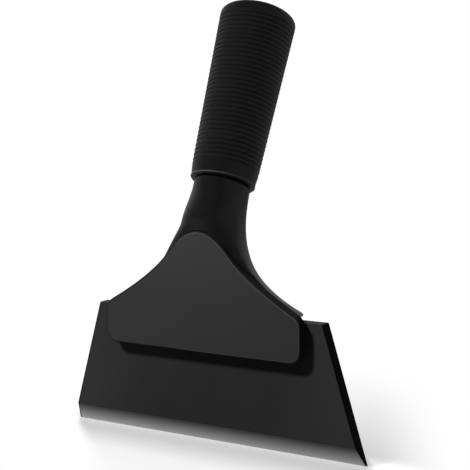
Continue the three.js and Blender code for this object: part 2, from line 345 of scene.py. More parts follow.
def makeHandling():
    # broad soft marks where the piece has been wiped and held
    starts = {"Mark Size": wipedMarks["size"], "Amount": wipedMarks["amount"]}
    tree, source, target = shaderGroup("handlingMarks", starts, ["Mask"])
    scale = maths(tree, "DIVIDE", 1.0, source.outputs["Mark Size"])
    broad = noise(tree, objectCoords(tree), scale, wipedMarks["detail"], wipedMarks["roughness"])
    shaped = fade(tree, broad, wipedMarks["from"], wipedMarks["to"])
    feed(tree, target.inputs["Mask"], product(tree, shaped, source.outputs["Amount"]))
    return tree


def makeEdgeWearAndSheen():
    # lighter at convex edges: rubbed wear and a painted highlight
    starts = {"Start": edgeRub["start"], "End": edgeRub["end"], "Amount": edgeRub["amount"]}
    tree, source, target = shaderGroup("edgeRub", starts, ["Mask"])
    pointiness = addNode(tree, "ShaderNodeNewGeometry").outputs["Pointiness"]
    patches = noise(tree, objectCoords(tree), edgeRub["breakScale"], edgeRub["breakDetail"])
    broken = remap(tree, patches, edgeRub["breakFrom"], edgeRub["breakTo"], edgeRub["leastRub"])
    edge = fade(tree, pointiness, source.outputs["Start"], source.outputs["End"])
    feed(tree, target.inputs["Mask"], product(tree, edge, broken, source.outputs["Amount"]))
    return tree


effects = {"grain": makeFineGrain(), "handling": makeHandling(), "rub": makeEdgeWearAndSheen()}


def useEffect(tree, name, **values):
    node = addNode(tree, "ShaderNodeGroup")
    node.node_tree = effects[name]
    for key, value in values.items():
        label = "".join(" " + c if c.isupper() else c for c in key)
        node.inputs[label[0].upper() + label[1:]].default_value = value
    return node


def blendColour(tree, share, first, second):
    # the Mix node keeps its colour sockets at 6, 7 and 2
    node = addNode(tree, "ShaderNodeMix", data_type="RGBA")
    feed(tree, node.inputs[0], share)
    feed(tree, node.inputs[6], first)
    feed(tree, node.inputs[7], second)
    return node.outputs[2]


def shade(level, tint=(1.0, 1.0, 1.0)):
    return (level * tint[0], level * tint[1], level * tint[2], 1.0)


def newMaterial(name, specular):
    material = bpy.data.materials.new(name)
    material.use_nodes = True
    tree = material.node_tree
    shader = tree.nodes["Principled BSDF"]
    shader.inputs["Specular IOR Level"].default_value = specular
    return material, tree, shader


def addBump(tree, normal, height, depth):
    bump = addNode(tree, "ShaderNodeBump")
    bump.inputs["Distance"].default_value = depth
    feed(tree, bump.inputs["Height"], height)
    feed(tree, normal, bump.outputs["Normal"])


def linkedTo(socket):
    return socket.links[0].from_socket


def makeMoulded(name, looks):
    # plain moulded or rubber surface: grain, wiped marks, and rubbed edges with a painted highlight
    material, tree, shader = newMaterial(name, looks["specular"])
    grain = useEffect(tree, "grain", grainSize=looks["grainSize"], roughSwing=looks["roughSwing"])
    marks = useEffect(tree, "handling", markSize=looks["markSize"], amount=looks["markAmount"])
    rub = useEffect(tree, "rub", start=looks["rubStart"], end=looks["rubEnd"], amount=looks["wearAndSheenAmount"])
    colour = blendColour(tree, marks.outputs["Mask"], shade(looks["colour"], looks["tint"]),
                         shade(looks["markColour"], looks["tint"]))
    colour = blendColour(tree, rub.outputs["Mask"], colour, shade(looks["wearAndSheenColour"], looks["tint"]))
    rough = maths(tree, "ADD", grain.outputs["Rough Shift"], looks["roughness"])
    polish = maths(tree, "MULTIPLY", marks.outputs["Mask"], looks["markPolish"])
    feed(tree, shader.inputs["Base Color"], colour)
    feed(tree, shader.inputs["Roughness"], maths(tree, "SUBTRACT", rough, polish))
    addBump(tree, shader.inputs["Normal"], grain.outputs["Height"], looks["grainDepth"])
    return material, tree, shader


def finishPiece(obj, body, nodes, material=None):
    if material is not None:
        obj.data.materials.clear()
        obj.data.materials.append(material)
    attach(obj, body)
    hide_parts(*nodes)
    print("piece:", obj.name, len(obj.data.polygons), "faces on", body)


# Cover plate: a raised rounded triangle with hollow slopes
coverPlate = {
    "sideHeight": 18.6 * mm,
    "waistWidth": 48.2 * mm,
    "waistHeight": 33.1 * mm,
    "noseWidth": 15.1 * mm,
    "cornerSetback": 6.5 * mm,
    "shoulderSetback": 3.8 * mm,
    "noseSetback": 12.6 * mm,
    "edgeRadius": 1.2 * mm,
    "bossRadius": 3.6 * mm,
    "pilotRadius": 1.55 * mm,
    "pilotSpare": 0.6 * mm,
    "curveSteps": 24,
    "edgeSteps": 6,
    "smoothAngle": 35,
}
coverLooks = {
    "colour": 0.028,
    "tint": (0.99, 0.995, 1.0),
    "roughness": 0.5,
    "specular": 0.16,
    "grainSize": 0.28 * mm,
    "grainDepth": 0.012 * mm,
    "roughSwing": 0.12,
    "markSize": 30 * mm,
    "markAmount": 0.35,
    "markColour": 0.033,
    "markPolish": 0.08,
    "rubStart": 0.505,
    "rubEnd": 0.54,
    "wearAndSheenAmount": 0.2,
    "wearAndSheenColour": 0.06,
    "noseLightColour": 0.037,  # painted light: paler towards the nose
    "noseLightFrom": 60 * mm,
    "thumbTo": 92 * mm,
    "edgeHighlightColour": 0.06,  # painted highlight where the face turns over, with painted shade on its left
    "lineFrom": 0.01 * mm,
    "dullLine": 0.006,
    "brightFrom": -14 * mm,
    "brightTo": -6 * mm,
    "flankShadeColour": 0.013,  # painted shade on the wall behind that line
    "flankRoughness": 1.0,
    "flankFrom": 0.085 * mm,
    "flankTo": 0.3 * mm,
}


def coverCorners(grow):
    right = [
        Vector((coverHigh.x, coverLow.z)),
        Vector((coverHigh.x, coverLow.z + coverPlate["sideHeight"])),
        Vector((coverPlate["waistWidth"] / 2, coverLow.z + coverPlate["waistHeight"])),
        Vector((coverPlate["noseWidth"] / 2, coverHigh.z)),
    ]
    before = [Vector((0, coverLow.z))] + right[:-1]
    after = right[1:] + [Vector((0, coverHigh.z))]
    grown = []
    for corner, behind, ahead in zip(right, before, after):
        edgeIn = (corner - behind).normalized()
        edgeOut = (ahead - corner).normalized()
        normalIn = Vector((edgeIn.y, -edgeIn.x))
        normalOut = Vector((edgeOut.y, -edgeOut.x))
        grown.append(corner + (normalIn + normalOut) / (1 + normalIn.dot(normalOut)) * grow)
    return grown


def towards(start, end, distance):
    return start + (end - start).normalized() * distance


def bendPoints(start, bend, end, steps):
    for i in range(1, steps + 1):
        t = i / steps
        yield start * (1 - t) ** 2 + bend * (2 * t * (1 - t)) + end * t ** 2


def coverOutline(grow=0.0):
    # X and Z all the way round, from the middle of the foot
    foot, shoulder, waist, nose = coverCorners(grow)
    top = Vector((0, nose.y))
    steps = coverPlate["curveSteps"]
    footStart = towards(foot, Vector((0, foot.y)), coverPlate["cornerSetback"])
    footEnd = towards(foot, shoulder, coverPlate["cornerSetback"])
    shoulderStart = towards(shoulder, foot, coverPlate["shoulderSetback"])
    shoulderEnd = towards(shoulder, waist, coverPlate["shoulderSetback"])
    noseStart = towards(nose, waist, coverPlate["noseSetback"])
    half = [Vector((0, foot.y)), footStart]
    half += bendPoints(footStart, foot, footEnd, steps)
    half.append(shoulderStart)
    half += bendPoints(shoulderStart, shoulder, shoulderEnd, steps)
    half += bendPoints(shoulderEnd, waist, noseStart, steps)
    half += bendPoints(noseStart, nose, top, steps)
    return half + [Vector((-point.x, point.y)) for point in reversed(half[1:-1])]


def coverHalfWidth(height):
    half = [point for point in coverOutline() if point.x >= 0][1:]
    for low, high in zip(half, half[1:]):
        if low.y <= height <= high.y and high.y > low.y:
            return mix(low.x, high.x, (height - low.y) / (high.y - low.y))
    return 0.0 if height > coverHigh.z else half[0].x


def insetOutline(outline, inset):
    moved = []
    count = len(outline)
    for i, point in enumerate(outline):
        along = (outline[(i + 1) % count] - outline[i - 1]).normalized()
        moved.append(point - Vector((along.y, -along.x)) * inset)
    return moved


def makeCover():
    outline = coverOutline()
    radius = coverPlate["edgeRadius"]
    turn = [(radius * (1 - math.cos(angle)), radius * (1 - math.sin(angle)))
            for angle in quarterTurn(coverPlate["edgeSteps"])]
    levels = [(inset, coverBack - rise) for inset, rise in reversed(turn)]
    levels += [(inset, coverLow.y + rise) for inset, rise in turn]
    rings = [[(p.x, y, p.y) for p in insetOutline(outline, inset)] for inset, y in levels]
    plate = ringSkin("frontCover", rings)
    bosses = screwBars("bosses", coverPlate["bossRadius"], coverBack - radius, coverHigh.y)
    combine(plate, "UNION", [bosses])
    pilotEnd = screwLow.y - coverPlate["pilotSpare"]
    combine(plate, "DIFFERENCE", [screwBars("pilots", coverPlate["pilotRadius"], pilotEnd, bodySeat)])
    smoothAbove(plate, coverPlate["smoothAngle"])
    return plate


def makeCoverMaterial():
    material, tree, shader = makeMoulded("satinCover", coverLooks)
    place = objectPlace(tree)
    behind = maths(tree, "SUBTRACT", place["Y"], coverLow.y)
    noseLight = fade(tree, place["Z"], coverLooks["noseLightFrom"], coverLooks["thumbTo"])
    line = fade(tree, behind, coverLooks["lineFrom"], coverLooks["flankFrom"])
    flank = fade(tree, behind, coverLooks["flankFrom"], coverLooks["flankTo"])
    bright = fade(tree, place["X"], coverLooks["brightFrom"], coverLooks["brightTo"])
    edge = blendColour(tree, bright, shade(coverLooks["dullLine"]), shade(coverLooks["edgeHighlightColour"]))
    colour = linkedTo(shader.inputs["Base Color"])
    # painted light makes the cover paler towards the nose
    colour = blendColour(tree, noseLight, colour, shade(coverLooks["noseLightColour"]))
    # painted highlight on the face's rounded edge, painted shade where it faces left
    colour = blendColour(tree, line, colour, edge)
    # painted shade on the cover's side wall, which is also made rougher
    colour = blendColour(tree, flank, colour, shade(coverLooks["flankShadeColour"]))
    feed(tree, shader.inputs["Base Color"], colour)
    rough = linkedTo(shader.inputs["Roughness"])
    rough = remap(tree, flank, 0.0, 1.0, rough, coverLooks["flankRoughness"])
    feed(tree, shader.inputs["Roughness"], rough)
    return material


finishPiece(makeCover(), "handle", ["front_cover"], makeCoverMaterial())


# Blade: a thick tapered rubber sheet, ground to a thin lip along its front
bladeSheet = {
    "topWidth": 114.7 * mm,
    "bevelHeight": 8.6 * mm,
    "lipThickness": 0.8 * mm,
    "notchRadius": 4.0 * mm,
    "notchSteps": 16,
    "edgeEase": 0.25 * mm,
    "easeSegments": 3,
    "easeAngle": 20,
}
bladeLooks = {
    "colour": 0.021,
    "tint": (1.0, 1.0, 1.0),
    "roughness": 0.6,
    "specular": 0.03,
    "grainSize": 0.5 * mm,
    "grainDepth": 0.008 * mm,
    "roughSwing": 0.1,
    "markSize": 26 * mm,
    "markAmount": 0.4,
    "markColour": 0.026,
    "markPolish": 0.06,
    "rubStart": 0.53,
    "rubEnd": 0.63,
    "wearAndSheenAmount": 0.05,
    "wearAndSheenColour": 0.05,
    "groundAndReflectionStart": 0.07,  # the ground bevel pales towards the lip: lighter ground rubber and a painted reflection of the white floor
    "groundAndReflectionColour": 0.66,
    "groundPower": 1.3,
    "groundEdge": 0.3 * mm,
    # painted highlight along the lip
    "lipHighlightColour": 0.72,
    "lipHeight": 0.9 * mm,
    "lipFull": 0.45 * mm,
    # painted shade on the sheet's end faces and along their edges
    "endShadeColour": 0.003,
    "endShadeMargin": 0.7 * mm,
    "litEndsColour": 0.03,  # painted light: the sheet is paler towards its ends
    "wornFrom": 22.5 * mm,
}


def makeBlade():
    halfLip = bladeHigh.x
    halfTop = bladeSheet["topWidth"] / 2
    top = bladeHigh.z
    notch = bladeSheet["notchRadius"]
    outline = [(-halfLip, 0.0), (halfLip, 0.0), (halfTop, top)]
    for x in reversed(screwPlaces):
        outline.append((x + notch, top))
        for i in range(bladeSheet["notchSteps"] + 1):
            angle = -math.pi * i / bladeSheet["notchSteps"]
            outline.append((x + notch * math.cos(angle), screwRise + notch * math.sin(angle)))
        outline.append((x - notch, top))
    outline.append((-halfTop, top))
    count = len(outline)
    bevel = bladeSheet["bevelHeight"]
    halfBevel = mix(halfLip, halfTop, bevel / top)
    frontLine = [(-halfBevel, bevel), (halfBevel, bevel)] + outline[2:]
    lipFront = bladeHigh.y - bladeSheet["lipThickness"]
    points = [(x, bladeHigh.y, z) for x, z in outline]
    points += [(x, bladeLow.y, z) for x, z in frontLine]
    points += [(-halfLip, lipFront, 0.0), (halfLip, lipFront, 0.0)]
    lipLeft, lipRight = 2 * count, 2 * count + 1
    faces = [tuple(range(count)), tuple(range(count, 2 * count))]
    faces += [(0, 1, lipRight, lipLeft), (lipLeft, lipRight, count + 1, count)]
    faces += [(1, 2, count + 2, count + 1, lipRight), (count - 1, 0, lipLeft, count, 2 * count - 1)]
    faces += [(i, i + 1, count + i + 1, count + i) for i in range(2, count - 1)]
    sheet = meshObject("rubberBlade", points, faces)
    tidyMesh(sheet)
    sheet.data.shade_smooth()
    easeEdges(sheet, bladeSheet["edgeEase"], bladeSheet["easeSegments"], bladeSheet["easeAngle"])
    settleModifiers(sheet)
    return sheet


def makeBladeMaterial():
    material, tree, shader = makeMoulded("bladeRubber", bladeLooks)
    place = objectPlace(tree)
    height = place["Z"]
    bevel = bladeSheet["bevelHeight"]
    edge = bladeLooks["groundEdge"]
    # only the front is ground and gets the painted reflection and highlight, so the back stays black down
    # to the lip
    front = remap(tree, place["Y"], bladeHigh.y - edge, bladeHigh.y - 2 * edge)
    onBevel = remap(tree, height, bevel, bevel - edge, 0.0, front)
    ground = remap(tree, height, bevel, bladeLooks["lipHeight"])
    ground = maths(tree, "POWER", ground, bladeLooks["groundPower"])
    lip = remap(tree, height, bladeLooks["lipHeight"], bladeLooks["lipFull"], 0.0, front)
    outward = maths(tree, "ABSOLUTE", place["X"])
    litEnds = fade(tree, outward, bladeLooks["wornFrom"], bladeHigh.x)
    plain = linkedTo(shader.inputs["Base Color"])
    # painted light makes the sheet paler towards its ends
    plain = blendColour(tree, litEnds, plain, shade(bladeLooks["litEndsColour"]))
    # lighter ground rubber and a painted reflection of the white floor pale the bevel
    groundAndReflection = blendColour(tree, ground, shade(bladeLooks["groundAndReflectionStart"]), shade(bladeLooks["groundAndReflectionColour"]))
    colour = blendColour(tree, onBevel, plain, groundAndReflection)
    # painted highlight along the lip's lowest edge
    colour = blendColour(tree, lip, colour, shade(bladeLooks["lipHighlightColour"]))
    # painted shade on the end faces and a thin margin beside them
    taper = (bladeHigh.x - bladeSheet["topWidth"] / 2) / bladeHigh.z
    reach = maths(tree, "ADD", outward, maths(tree, "MULTIPLY", height, taper))
    ends = maths(tree, "GREATER_THAN", reach, bladeHigh.x - bladeLooks["endShadeMargin"])
    colour = blendColour(tree, ends, colour, shade(bladeLooks["endShadeColour"]))
    feed(tree, shader.inputs["Base Color"], colour)
    return material


finishPiece(makeBlade(), "blade", ["blade"], makeBladeMaterial())


# Handle body: collar, round neck and flared head, in one moulding
handleLine = {
    "tilt": math.radians(24.9),
    "rootDrop": 10.4 * mm,
    "collarDistance": 31.8 * mm,
    "collarRadius": 12.7 * mm,
}
handleAxis = Vector((0, math.sin(handleLine["tilt"]), math.cos(handleLine["tilt"])))
handleRoot = Vector((0, (bladeLow.y + bladeHigh.y) / 2, coverHigh.z - handleLine["rootDrop"]))
collar = handleRoot + handleAxis * handleLine["collarDistance"]
ontoHandle = Matrix.Translation(collar) @ Matrix.Rotation(-handleLine["tilt"], 4, "X")

bodyMould = {
    "neckWaist": 0.8 * mm,
    "neckWaistShare": 0.3,
    "neckSpread": 25.8 * mm,
    "neckSpreadPower": 1.75,
    "flareBlend": 6,
    "inset": 3.4 * mm,
    "rimRise": 1.8 * mm,
    "noseRise": 4.2 * mm,
    "rimDepth": 1 * mm,
    "rimSquareness": 3.7,
    "landThickness": 5 * mm,
    "landMargin": 5.2 * mm,
    "roundSquareness": 2,
    "headSquareness": 2.3,
    "pocketClearance": 0.3 * mm,
    "screwHole": 1.75 * mm,
    "screwSeat": 3.4 * mm,
    "seatGap": 0.05 * mm,
    "shankRadius": 10.5 * mm,
    "shankLength": 72 * mm,
    "shankChamfer": 1.5 * mm,
    "collarEase": 0.5 * mm,
    "sides": 144,
    "neckSteps": 64,
    "cornerSteps": 10,
    "footLift": 0.001 * mm,
    "cutReach": 300 * mm,
    "smoothAngle": 35,
}
bodyLooks = {
    "colour": 0.0065,
    "tint": (0.98, 0.99, 1.0),
    "roughness": 0.4,
    "specular": 0.4,
    "grainSize": 0.22 * mm,
    "grainDepth": 0.006 * mm,
    "roughSwing": 0.08,
    "markSize": 22 * mm,
    "markAmount": 0.4,
    "markColour": 0.0115,
    "markPolish": 0.06,
    "rubStart": 0.53,
    "rubEnd": 0.63,
    "wearAndSheenAmount": 0.3,
    "wearAndSheenColour": 0.03,
}
rimFront = coverBack - bodyMould["rimRise"]
headMiddle = rimFront + bodyMould["rimDepth"]
landBack = bodySeat + bodyMould["landThickness"]
landDepth = landBack - headMiddle
landShare = 1 - bodyMould["landMargin"] / (coverHigh.x - bodyMould["inset"])
headCrown = landDepth / (1 - landShare ** bodyMould["headSquareness"]) ** (1 / bodyMould["headSquareness"])
shoulderRise = coverLow.z + coverPlate["sideHeight"]


def neckStation(along):
    bendReach = (headMiddle - handleRoot.y) / math.sin(handleLine["tilt"])
    bend = handleRoot + handleAxis * bendReach
    foot = Vector((0, headMiddle, shoulderRise))
    centre = collar * (1 - along) ** 2 + bend * (2 * along * (1 - along)) + foot * along ** 2
    up = -((bend - collar) * (1 - along) + (foot - bend) * along).normalized()
    radius = handleLine["collarRadius"]
    ease = smoothStep(along, 0, 1)
    power = bodyMould["flareBlend"]
    neckRadius = radius - bodyMould["neckWaist"] * smoothStep(along, 0, bodyMould["neckWaistShare"])
    neckHalf = neckRadius + bodyMould["neckSpread"] * along ** bodyMould["neckSpreadPower"]
    flareHalf = max(coverHalfWidth(centre.z) - bodyMould["inset"], 0.0)
    collarFront = collar.y - radius * handleAxis.z
    noseShare = smoothStep(centre.z, shoulderRise, coverHigh.z - coverPlate["noseSetback"])
    rise = mix(bodyMould["rimRise"], bodyMould["noseRise"], noseShare)
    ramp = smoothStep(collar.z - centre.z, 0, collar.z - coverHigh.z)
    front = mix(collarFront, coverBack - rise, ramp)
    squareness = mix(bodyMould["roundSquareness"], bodyMould["headSquareness"], ease)
    rimShare = smoothStep(coverHigh.z - centre.z, 0, coverPlate["noseSetback"])
    halfWidth = ((neckHalf / mm) ** power + (flareHalf / mm) ** power) ** (1 / power) * mm
    return {
        "centre": centre, "up": up, "halfWidth": halfWidth, "frontDepth": (centre.y - front) / up.z,
        "crown": mix(radius, headCrown, ease), "flat": mix(radius, landDepth, ease),
        "squareness": squareness, "frontSquareness": mix(squareness, bodyMould["rimSquareness"], rimShare),
    }


def headStation(height):
    return {
        "centre": Vector((0, headMiddle, height)), "up": Vector((0, 0, 1)),
        "halfWidth": coverHalfWidth(height) - bodyMould["inset"], "frontDepth": bodyMould["rimDepth"],
        "crown": headCrown, "flat": landDepth, "squareness": bodyMould["headSquareness"],
        "frontSquareness": bodyMould["rimSquareness"],
    }


def stationRing(station):
    across = Vector((1, 0, 0))
    back = station["up"].cross(across)
    ring = []
    for x, y in circle(bodyMould["sides"]):
        power = 2 / station["frontSquareness" if y < 0 else "squareness"]
        wide = math.copysign(abs(x) ** power, x)
        deep = math.copysign(abs(y) ** power, y)
        behind = min(station["crown"] * deep, station["flat"])
        reach = behind if behind > 0 else station["frontDepth"] * deep
        ring.append(station["centre"] + across * (station["halfWidth"] * wide) + back * reach)
    return ring


def shankRings():
    # from the shank's end down to the collar's eased rim
    radius, length, chamfer = (bodyMould[key] for key in ("shankRadius", "shankLength", "shankChamfer"))
    ease = bodyMould["collarEase"]
    levels = [(radius - chamfer, length), (radius, length - chamfer), (radius, 0.0)]
    levels.append((handleLine["collarRadius"] - ease, 0.0))
    return [[ontoHandle @ Vector((size * x, size * y, rise)) for x, y in circle(bodyMould["sides"])]
            for size, rise in levels]


def makeBody():
    stations = [neckStation(i / bodyMould["neckSteps"]) for i in range(1, bodyMould["neckSteps"])]
    stations += [headStation(shoulderRise), headStation(shoulderRise - coverPlate["shoulderSetback"])]
    for angle in quarterTurn(bodyMould["cornerSteps"]):
        rise = coverPlate["cornerSetback"] * (1 - math.sin(angle)) + bodyMould["footLift"]
        stations.append(headStation(coverLow.z + rise))
    rings = shankRings() + [stationRing(station) for station in stations]
    body = ringSkin("handleBody", rings)
    far = bodyMould["cutReach"]
    slot = boxCutter("slot", (-far, -far, -far), (far, bodySeat, bladeHigh.z + clamp["topClearance"]))
    outline = coverOutline(bodyMould["pocketClearance"])
    pocketFloor = coverBack + clamp["partingGap"]
    pocket = ringSkin("pocket", [[(p.x, y, p.y) for p in outline] for y in (pocketFloor, -far)])
    seat = screwHigh.y - clamp["screwHeadHeight"] - bodyMould["seatGap"]
    holes = screwBars("holes", bodyMould["screwHole"], -far, far)
    seats = screwBars("seats", bodyMould["screwSeat"], seat, far)
    combine(body, "DIFFERENCE", [slot, pocket, holes, seats])
    smoothAbove(body, bodyMould["smoothAngle"])
    return body


bodyMaterial = makeMoulded("mouldedBody", bodyLooks)[0]
finishPiece(makeBody(), "handle", ["handle_body"], bodyMaterial)


# Grip sleeve: plain turned rubber with the ribs pressed in by a rule
gripSleeve = {
    "length": 84.5 * mm,
    "seatGap": 0.3 * mm,
    "bore": 10.8 * mm,
    "boreEnd": 72.3 * mm,
    "cuffRadius": 14.3 * mm,
    "bottomRadius": 15.1 * mm,
    "topRadius": 17.6 * mm,
    "lipRounding": 0.5 * mm,
    "beadHeight": 0.3 * mm,
    "beadPlace": 1.0 * mm,
    "beadSpread": 0.55 * mm,
    "cuffLength": 7.5 * mm,
    "ribPitch": 2.156 * mm,
    "ribCount": 33,
    "runOver": 0.5,  # in ribs, past the first groove and short of the last
    "grooveDepth": 0.55 * mm,
    "grooveSharpness": 1.6,
    "domeHeight": 5.4 * mm,
    "domeSquareness": 2.9,
    "sides": 128,
    "ringsPerRib": 12,
    "domeRings": 20,
    "lipRings": 5,
    "smoothAngle": 60,
}
gripLooks = {
    "colour": 0.0065,
    "tint": (1.0, 1.0, 1.0),
    "roughness": 0.5,
    "specular": 0.4,
    "grainSize": 0.35 * mm,
    "grainDepth": 0.01 * mm,
    "roughSwing": 0.12,
    "markSize": 24 * mm,
    "markAmount": 0.5,
    "markColour": 0.0115,
    "markPolish": 0.08,
    "rubStart": 0.52,
    "rubEnd": 0.6,
    "wearAndSheenAmount": 0.35,
    "wearAndSheenColour": 0.03,
    "beadHighlightColour": 0.1,  # painted highlight along the rolled lip of the cuff
    "beadHighlightWidth": 0.3 * mm,
    # painted shade and some dirt darken the grooves
    "grooveShadeAndDirtColour": 0.004,
    "grooveShadeAndDirtPower": 1.5,
    # painted highlight on the rib crests
    "crestHighlightColour": 0.01,
    "crestHighlightPower": 8.0,
    "ribBump": 0.12 * mm,
}


def gripProfile():
    g = gripSleeve
    domeStart = g["length"] - g["domeHeight"]
    wallStart = g["seatGap"] + g["lipRounding"]
    profile = [(0.0, g["boreEnd"]), (g["bore"], g["boreEnd"]), (g["bore"], g["seatGap"])]
    for angle in quarterTurn(g["lipRings"]):
        radius = g["cuffRadius"] - g["lipRounding"] * (1 - math.sin(angle))
        profile.append((radius, wallStart - g["lipRounding"] * math.cos(angle)))
    wallRings = round((domeStart - wallStart) / g["ribPitch"] * g["ringsPerRib"])
    for i in range(1, wallRings + 1):
        height = mix(wallStart, domeStart, i / wallRings)
        if height < g["cuffLength"]:
            share = (height - wallStart) / (g["cuffLength"] - wallStart)
            radius = mix(g["cuffRadius"], g["bottomRadius"], share)
        else:
            share = (height - g["cuffLength"]) / (domeStart - g["cuffLength"])
            radius = mix(g["bottomRadius"], g["topRadius"], share)
        radius += g["beadHeight"] * math.exp(-((height - g["beadPlace"]) / g["beadSpread"]) ** 2)
        profile.append((radius, height))
    power = 2 / g["domeSquareness"]
    for angle in quarterTurn(g["domeRings"])[1:-1]:
        rise = domeStart + g["domeHeight"] * math.sin(angle) ** power
        profile.append((g["topRadius"] * math.cos(angle) ** power, rise))
    profile.append((0.0, g["length"]))
    return profile


def ribWave(tree, along, start, pitch):
    # ribs counted from the first groove, and a wave from 0 in a groove to 1 on a crest
    count = maths(tree, "DIVIDE", maths(tree, "SUBTRACT", along, start), pitch)
    return count, maths(tree, "ABSOLUTE", maths(tree, "SINE", maths(tree, "MULTIPLY", count, math.pi)))


def makeRibTree(sizes):
    tree, source, target = geometryGroup("pressedRibs", sizes)
    place = addNode(tree, "GeometryNodeInputPosition").outputs[0]
    split = addNode(tree, "ShaderNodeSeparateXYZ")
    feed(tree, split.inputs[0], place)
    start, pitch = source.outputs["Rib Start"], source.outputs["Rib Pitch"]
    count, wave = ribWave(tree, split.outputs["Z"], start, pitch)
    groove = maths(tree, "POWER", maths(tree, "SUBTRACT", 1.0, wave), source.outputs["Groove Sharpness"])
    afterFirst = maths(tree, "GREATER_THAN", count, -gripSleeve["runOver"])
    lastRib = maths(tree, "SUBTRACT", source.outputs["Rib Count"], gripSleeve["runOver"])
    beforeLast = maths(tree, "LESS_THAN", count, lastRib)
    flat = vectorMaths(tree, "MULTIPLY", place, (1.0, 1.0, 0.0))[0]
    radius = vectorMaths(tree, "LENGTH", flat)["Value"]
    outside = maths(tree, "GREATER_THAN", radius, source.outputs["Skin Radius"])
    depth = product(tree, groove, afterFirst, beforeLast, outside, source.outputs["Groove Depth"])
    offset = addNode(tree, "ShaderNodeVectorMath", operation="SCALE")
    feed(tree, offset.inputs[0], vectorMaths(tree, "NORMALIZE", flat)[0])
    feed(tree, offset.inputs["Scale"], maths(tree, "MULTIPLY", depth, -1.0))
    move = addNode(tree, "GeometryNodeSetPosition")
    feed(tree, move.inputs["Geometry"], source.outputs["Geometry"])
    feed(tree, move.inputs["Offset"], offset.outputs[0])
    finishGeometry(tree, move.outputs[0], source, target)
    return tree


def makeGrip(material):
    sleeve = turnedSkin("gripSleeve", gripProfile(), gripSleeve["sides"])
    sizes = {
        "Rib Start": gripSleeve["cuffLength"], "Rib Pitch": gripSleeve["ribPitch"],
        "Rib Count": gripSleeve["ribCount"], "Groove Depth": gripSleeve["grooveDepth"],
        "Groove Sharpness": gripSleeve["grooveSharpness"],
        "Skin Radius": (gripSleeve["bore"] + gripSleeve["cuffRadius"]) / 2,
    }
    growNodes(sleeve, makeRibTree(sizes), {**sizes, "Material": material})
    sleeve.data.transform(ontoHandle)
    smoothAbove(sleeve, gripSleeve["smoothAngle"])
    return sleeve


def makeGripMaterial():
    material, tree, shader = makeMoulded("gripRubber", gripLooks)
    offset = vectorMaths(tree, "SUBTRACT", objectCoords(tree), collar)[0]
    along = vectorMaths(tree, "DOT_PRODUCT", offset, handleAxis)["Value"]
    apart = maths(tree, "ABSOLUTE", maths(tree, "SUBTRACT", along, gripSleeve["beadPlace"]))
    bead = fade(tree, apart, 0.0, gripLooks["beadHighlightWidth"], 1.0, 0.0)
    count, wave = ribWave(tree, along, gripSleeve["cuffLength"], gripSleeve["ribPitch"])
    lastRib = gripSleeve["ribCount"] - gripSleeve["runOver"]
    inRun = maths(tree, "MULTIPLY", maths(tree, "GREATER_THAN", count, 0.0),
                  maths(tree, "LESS_THAN", count, lastRib))
    groove = maths(tree, "POWER", maths(tree, "SUBTRACT", 1.0, wave), gripLooks["grooveShadeAndDirtPower"])
    groove = maths(tree, "MULTIPLY", groove, inRun)
    crest = maths(tree, "MULTIPLY", maths(tree, "POWER", wave, gripLooks["crestHighlightPower"]), inRun)
    colour = linkedTo(shader.inputs["Base Color"])
    # painted highlight on the rib crests
    colour = blendColour(tree, crest, colour, shade(gripLooks["crestHighlightColour"]))
    # painted shade and some dirt in the rib grooves
    colour = blendColour(tree, groove, colour, shade(gripLooks["grooveShadeAndDirtColour"]))
    # painted highlight along the cuff's rolled lip
    colour = blendColour(tree, bead, colour, shade(gripLooks["beadHighlightColour"]))
    feed(tree, shader.inputs["Base Color"], colour)
    grainBump = linkedTo(shader.inputs["Normal"]).node
    addBump(tree, grainBump.inputs["Normal"], maths(tree, "MULTIPLY", wave, inRun), gripLooks["ribBump"])
    return material


gripMaterial = makeGripMaterial()
finishPiece(makeGrip(gripMaterial), "handle", ["grip_sleeve"])


# Clamp screws: one turned pan head with a cross recess, set at three places
clampScrew = {
    "shankRadius": 1.45 * mm,
    "tipRadius": 0.7 * mm,
    "tipLength": 1.2 * mm,
    "headRadius": 3.1 * mm,
    "headRounding": 0.8 * mm,
    "recessSpan": 3.4 * mm,
    "recessWidth": 0.9 * mm,
    "recessDepth": 1.1 * mm,
    "sides": 64,
    "roundSteps": 6,
    "smoothAngle": 35,
}
screwLooks = {
    "colour": 0.45,
    "tint": (1.0, 1.0, 1.02),
    "roughness": 0.3,
    "specular": 0.5,
    "metallic": 1.0,
    "turnedGap": 0.12 * mm,
    "turnedDepth": 0.004 * mm,
    "roughSwing": 0.2,
    "markSize": 2.5 * mm,
    "markAmount": 0.6,
    "markColour": 0.27,
    "markTint": (1.0, 0.98, 0.95),
}


def makeScrewTree(sizes):
    tree, source, target = geometryGroup("screwRow", sizes)
    line = addNode(tree, "GeometryNodeMeshLine", mode="OFFSET")
    start = addNode(tree, "ShaderNodeCombineXYZ")
    feed(tree, start.inputs["X"], source.outputs["First Place"])
    step = addNode(tree, "ShaderNodeCombineXYZ")
    feed(tree, step.inputs["X"], source.outputs["Spacing"])
    feed(tree, line.inputs["Count"], source.outputs["Count"])
    feed(tree, line.inputs["Start Location"], start.outputs[0])
    feed(tree, line.inputs["Offset"], step.outputs[0])
    place = addNode(tree, "GeometryNodeInstanceOnPoints")
    feed(tree, place.inputs["Points"], line.outputs[0])
    feed(tree, place.inputs["Instance"], source.outputs["Geometry"])
    finishGeometry(tree, place.outputs[0], source, target)
    return tree


